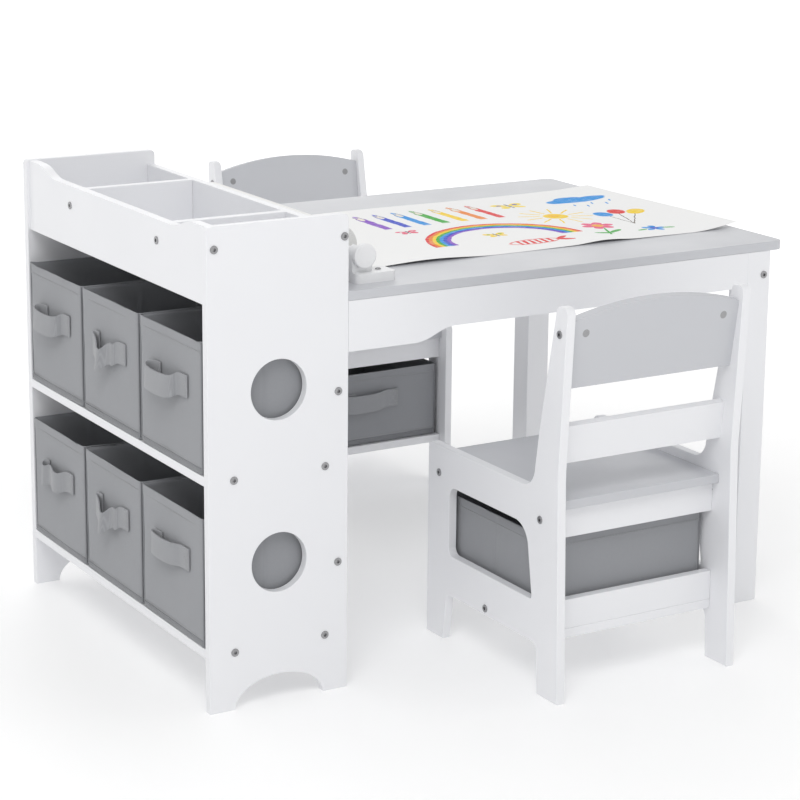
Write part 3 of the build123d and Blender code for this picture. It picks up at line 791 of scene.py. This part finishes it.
# ---------------------------------------------------------------- drawing paper
# A length of the roll's paper is drawn out over the tabletop, with a child's felt-pen picture on
# it. It leaves the roll underneath, comes down and lies flat, but its front edge lifts in places
# and its free end curls up.
sheet_low, sheet_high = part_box("paper_sheet")
table_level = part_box("table_top")[1].z
sheet_width, sheet_length = sheet_high.y - sheet_low.y, sheet_high.x - sheet_low.x
paper_thickness = 0.25 * MM
deselect()
bpy.ops.mesh.primitive_grid_add(
    x_subdivisions=150,
    y_subdivisions=60,
    size=1,
    location=((sheet_low.x + sheet_high.x) / 2, (sheet_low.y + sheet_high.y) / 2, 0),
)
paper = bpy.context.object
paper.name = paper.data.name = "drawing_paper"
paper.scale = (sheet_length, sheet_width, 1)
bpy.ops.object.transform_apply(location=True, rotation=False, scale=True)


def bump_at(value, centre, reach):
    """A smooth rise from 0 to 1 and back, centred on a value."""
    share = min(1.0, abs(value - centre) / reach)
    return (1 + math.cos(math.pi * share)) / 2


fall = 40 * MM  # how far from the roll's axis the sheet reaches the tabletop
front_lifts = ((3.0 * MM, -0.055, 0.10), (2.6 * MM, 0.215, 0.055))  # height, place, reach
end_curl, curl_length = 8.5 * MM, 0.075
for corner in paper.data.vertices:
    point = corner.co
    fallen = min(1.0, (point.x - sheet_low.x) / fall)
    drop = sheet_high.z - paper_thickness - table_level
    roll_side = (1 - fallen * fallen * (3 - 2 * fallen)) * drop
    from_front = (point.y - sheet_low.y) / sheet_width
    edge = max(0.0, 1 - from_front / 0.22) ** 2
    lift = sum(rise * edge * bump_at(point.x, middle, reach) for rise, middle, reach in front_lifts)
    end_share = max(0.0, (point.x - (sheet_high.x - curl_length)) / curl_length)
    lift += end_curl * end_share ** 1.6 * (0.45 + 0.55 * max(0.0, 1 - from_front / 0.8))
    lift += 0.5 * MM * (1 + math.sin(19 * point.x + 9 * point.y)) * fallen
    point.z = table_level + 0.15 * MM + roll_side + lift
body = paper.modifiers.new("paper", "SOLIDIFY")
body.thickness = paper_thickness
body.offset = 1
apply_all(paper)
bpy.ops.object.shade_smooth_by_angle(angle=math.radians(40))


class Picture:
    """Felt-pen marks on paper, each laid over the ones before it. Places are in metres."""

    def __init__(self, name, paper_colour):
        self.material, self.shader, place = new_material(name)
        # an unsteady hand
        shake = add_node(self.material, "TexNoise", {"Scale": 70.0, "Detail": 2.0})
        tremor = 4.2 * MM
        centred = add_node(self.material, "VectorMath", operation="MULTIPLY_ADD")
        set_inputs(centred, {1: (tremor, tremor, 0), 2: (-tremor / 2, -tremor / 2, 0)})
        shaken = add_node(self.material, "VectorMath")
        flat = add_node(self.material, "VectorMath", {1: (1, 1, 0)}, operation="MULTIPLY")
        feed(self.material, place, shake.inputs["Vector"], shaken.inputs[0])
        feed(self.material, shake.outputs["Color"], centred.inputs[0])
        feed(self.material, centred.outputs[0], shaken.inputs[1])
        feed(self.material, shaken.outputs[0], flat.inputs[0])
        self.place = self.hand = flat.outputs[0]
        start = add_node(self.material, "RGB")
        start.outputs[0].default_value = (*paper_colour, 1)
        self.colour = start.outputs[0]
        self.count = 0

    def mark(self, kind, x, y, half_x, half_y, turn, ink):
        """Lays one round or straight mark, centred on x, y, over what is there."""
        placed = add_node(self.material, "Mapping", vector_type="TEXTURE")
        set_inputs(placed, {
            "Location": (x, y, 0),
            "Rotation": (0, 0, math.radians(turn)),
            "Scale": (half_x, half_y, 1),
        })
        feed(self.material, self.place, placed.inputs["Vector"])
        if kind == "round":
            size = add_node(self.material, "VectorMath", operation="LENGTH")
            feed(self.material, placed.outputs[0], size.inputs[0])
            reach = size.outputs["Value"]
        else:
            both = add_node(self.material, "VectorMath", operation="ABSOLUTE")
            parts = add_node(self.material, "SeparateXYZ")
            size = add_node(self.material, "Math", operation="MAXIMUM")
            feed(self.material, placed.outputs[0], both.inputs[0])
            feed(self.material, both.outputs[0], parts.inputs[0])
            feed(self.material, parts.outputs["X"], size.inputs[0])
            feed(self.material, parts.outputs["Y"], size.inputs[1])
            reach = size.outputs[0]
        inside = add_node(self.material, "MapRange", {"From Min": 1.06, "From Max": 0.94})
        feed(self.material, reach, inside.inputs["Value"])
        self.lay(inside.outputs["Result"], ink)

    def lay(self, amount, ink):
        """Puts ink, a colour or a socket, over the picture where amount is 1.

        Every few marks, the place of the next ones is worked out anew from the picture so far,
        by a share too small to see. The renderer then works the marks out in their order, not
        all at once, and keeps within its working memory.
        """
        over = add_node(self.material, "Mix", data_type="RGBA")
        feed(self.material, amount, over.inputs["Factor"])
        feed(self.material, self.colour, over.inputs["A"])
        if isinstance(ink, tuple):
            over.inputs["B"].default_value = (*ink, 1)
        else:
            feed(self.material, ink, over.inputs["B"])
        self.colour = over.outputs["Result"]
        self.count += 1
        if self.count % 6 == 0:
            share = (1e-7, 1e-7, 1e-7)
            waited = add_node(self.material, "VectorMath", {1: share}, operation="MULTIPLY_ADD")
            feed(self.material, self.colour, waited.inputs[0])
            feed(self.material, self.hand, waited.inputs[2])
            self.place = waited.outputs[0]

    def rainbow(self, x, y, outer_x, outer_y, inner, inks):
        """Bands of ink between an inner and an outer half ellipse, open towards the front."""
        placed = add_node(self.material, "Mapping", vector_type="TEXTURE")
        set_inputs(placed, {"Location": (x, y, 0), "Scale": (outer_x, outer_y, 1)})
        size = add_node(self.material, "VectorMath", operation="LENGTH")
        bands = add_node(self.material, "ValToRGB")
        bands.color_ramp.interpolation = "CONSTANT"
        stops = bands.color_ramp.elements
        stops[0].position, stops[0].color = inner, (*inks[0], 1)
        stops.remove(stops[1])
        for k, ink in enumerate(inks[1:], 1):
            stops.new(inner + (1 - inner) * k / len(inks)).color = (*ink, 1)
        parts = add_node(self.material, "SeparateXYZ")
        above = add_node(self.material, "Math", {1: 0.0}, operation="GREATER_THAN")
        ring = add_node(self.material, "Math", operation="COMPARE")
        set_inputs(ring, {1: (1 + inner) / 2, 2: (1 - inner) / 2})
        both = add_node(self.material, "Math", operation="MULTIPLY")
        feed(self.material, self.place, placed.inputs["Vector"])
        feed(self.material, placed.outputs[0], size.inputs[0], parts.inputs[0])
        feed(self.material, parts.outputs["Y"], above.inputs[0])
        feed(self.material, size.outputs["Value"], bands.inputs["Fac"], ring.inputs[0])
        feed(self.material, above.outputs[0], both.inputs[0])
        feed(self.material, ring.outputs[0], both.inputs[1])
        self.lay(both.outputs[0], bands.outputs["Color"])


paper_colour = (0.92, 0.92, 0.915)
red, orange = (0.78, 0.03, 0.03), (0.88, 0.25, 0.02)
yellow, green = (0.95, 0.66, 0.01), (0.03, 0.42, 0.03)
sky, blue, purple = (0.01, 0.30, 0.78), (0.03, 0.07, 0.60), (0.26, 0.08, 0.58)
pink, crimson, straw = (0.85, 0.12, 0.25), (0.80, 0.06, 0.16), (0.93, 0.72, 0.10)
amber, heart, bare_wood = (0.96, 0.55, 0.01), (0.92, 0.45, 0.05), (0.86, 0.80, 0.70)
string_brown, black = (0.10, 0.07, 0.05), (0.05, 0.04, 0.05)
picture = Picture("drawn_paper", paper_colour)

# a row of colouring pencils, points away from the child
for k, ink in enumerate((purple, blue, sky, green, yellow, orange, red)):
    x = (6 + 30.8 * k) * MM
    picture.mark("straight", x, -44 * MM, 6.3 * MM, 40 * MM, 0, ink)
    picture.mark("round", x, -4 * MM, 4.8 * MM, 14 * MM, 0, bare_wood)
    picture.mark("round", x, 9 * MM, 1.8 * MM, 8 * MM, 0, ink)
    for side in (-4, 4):
        darker = tuple(0.5 * c for c in ink)
        picture.mark("straight", x + side * MM, 0, 0.7 * MM, 12 * MM, side, darker)

bow = (purple, blue, sky, green, yellow, orange, red)
picture.rainbow(114 * MM, -222 * MM, 117 * MM, 108 * MM, 0.70, bow)


def rays(x, y, count, start, end, half_width, ink):
    """Straight strokes that point away from a centre."""
    for k in range(count):
        turn = 360 * k / count + 9
        middle = (start + end) / 2
        direction = Vector((math.cos(math.radians(turn)), math.sin(math.radians(turn))))
        place = Vector((x, y)) + middle * direction
        picture.mark("straight", *place, (end - start) / 2, half_width, turn, ink)


def blossom(x, y, petals, reach, ink, middle):
    """A flower seen from above: round petals about a round heart."""
    for k in range(petals):
        turn = math.radians(360 * k / petals)
        outward = Vector((math.cos(turn), math.sin(turn)))
        centre = Vector((x, y)) + 0.62 * reach * outward
        picture.mark("round", *centre, 0.40 * reach, 0.30 * reach, math.degrees(turn), ink)
    picture.mark("round", x, y, 0.36 * reach, 0.36 * reach, 0, middle)


def butterfly(x, y, reach, ink, spots):
    """Two pairs of wings about a thin body."""
    for side in (-1, 1):
        upper = (x + side * 0.55 * reach, y + 0.30 * reach)
        lower = (x + side * 0.45 * reach, y - 0.35 * reach)
        picture.mark("round", *upper, 0.50 * reach, 0.30 * reach, side * 28, ink)
        picture.mark("round", *lower, 0.36 * reach, 0.24 * reach, -side * 30, ink)
        picture.mark("round", *upper, 0.16 * reach, 0.12 * reach, 0, spots)
    picture.mark("round", x, y, 0.08 * reach, 0.62 * reach, 0, black)


rays(262 * MM, -111 * MM, 12, 23 * MM, 54 * MM, 1.5 * MM, yellow)
picture.mark("round", 262 * MM, -111 * MM, 18 * MM, 18 * MM, 0, yellow)
picture.mark("round", 260 * MM, -108 * MM, 9 * MM, 10 * MM, 20, amber)
puffs = ((330, -22, 22, 12), (352, -14, 26, 17), (382, -20, 27, 13), (362, -28, 42, 9))
for x, y, half_x, half_y in puffs:
    picture.mark("round", x * MM, y * MM, half_x * MM, half_y * MM, 0, sky)
for x, y in ((334, -54), (350, -66), (366, -52), (384, -64), (398, -50)):
    picture.mark("round", x * MM, y * MM, 1.6 * MM, 6 * MM, -18, sky)

knot = Vector((330 * MM, -205 * MM))
for x, y, ink in ((330, -130, sky), (358, -122, red), (382, -136, yellow)):
    balloon = Vector((x * MM, y * MM))
    string, middle = balloon - knot, (balloon + knot) / 2
    turn = math.degrees(math.atan2(string.y, string.x))
    picture.mark("straight", *middle, string.length / 2, 0.7 * MM, turn, string_brown)
    picture.mark("round", *balloon, 13 * MM, 16 * MM, turn - 90, ink)

picture.mark("straight", 262 * MM, -236 * MM, 26 * MM, 1.5 * MM, 68, green)
picture.mark("round", 250 * MM, -246 * MM, 14 * MM, 4 * MM, 150, green)
picture.mark("round", 272 * MM, -240 * MM, 14 * MM, 4 * MM, 25, green)
blossom(273 * MM, -197 * MM, 6, 24 * MM, pink, heart)
blossom(333 * MM, -246 * MM, 5, 17 * MM, sky, blue)
for side in (-1, 1):
    picture.mark("round", (333 + side * 22) * MM, -250 * MM, 9 * MM, 3 * MM, -side * 15, green)

# a striped fish, a pair of butterflies and a bee
picture.mark("round", 133 * MM, -250 * MM, 39 * MM, 14.5 * MM, 0, red)
picture.mark("round", 133 * MM, -250 * MM, 36 * MM, 12 * MM, 0, paper_colour)
for k in range(6):
    picture.mark("straight", (110 + 9.5 * k) * MM, -250 * MM, 2.4 * MM, 11 * MM, -8, red)
for side in (-1, 1):
    picture.mark("round", 180 * MM, (-250 + 6 * side) * MM, 13 * MM, 4.6 * MM, 28 * side, red)
butterfly(17 * MM, -115 * MM, 16 * MM, crimson, paper_colour)
butterfly(112 * MM, -188 * MM, 17 * MM, yellow, green)
butterfly(248 * MM, -14 * MM, 25 * MM, straw, blue)

# felt-pen strokes let the paper through in streaks, and the paper itself has fine fibres
streaks = add_node(picture.material, "TexNoise", {"Scale": 1.0, "Detail": 3.0})
slanted = add_node(picture.material, "Mapping")
set_inputs(slanted, {"Rotation": (0, 0, math.radians(35)), "Scale": (60, 620, 1)})
thin = add_node(picture.material, "MapRange", {"From Min": 0.53, "From Max": 0.72, "To Max": 0.6})
feed(picture.material, picture.place, slanted.inputs["Vector"])
feed(picture.material, slanted.outputs[0], streaks.inputs["Vector"])
feed(picture.material, streaks.outputs["Fac"], thin.inputs["Value"])
picture.lay(thin.outputs["Result"], paper_colour)
fibres = add_node(picture.material, "TexNoise", {"Scale": 800.0, "Detail": 6.0})
relief = add_node(picture.material, "Bump", {"Strength": 0.12, "Distance": 0.0001})
picture.shader.inputs["Roughness"].default_value = 0.72
feed(picture.material, picture.place, fibres.inputs["Vector"])
feed(picture.material, fibres.outputs["Fac"], relief.inputs["Height"])
feed(picture.material, relief.outputs["Normal"], picture.shader.inputs["Normal"])
feed(picture.material, picture.colour, picture.shader.inputs["Base Color"])
paper.data.materials.append(picture.material)
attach(paper, "table")
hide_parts("paper_sheet")
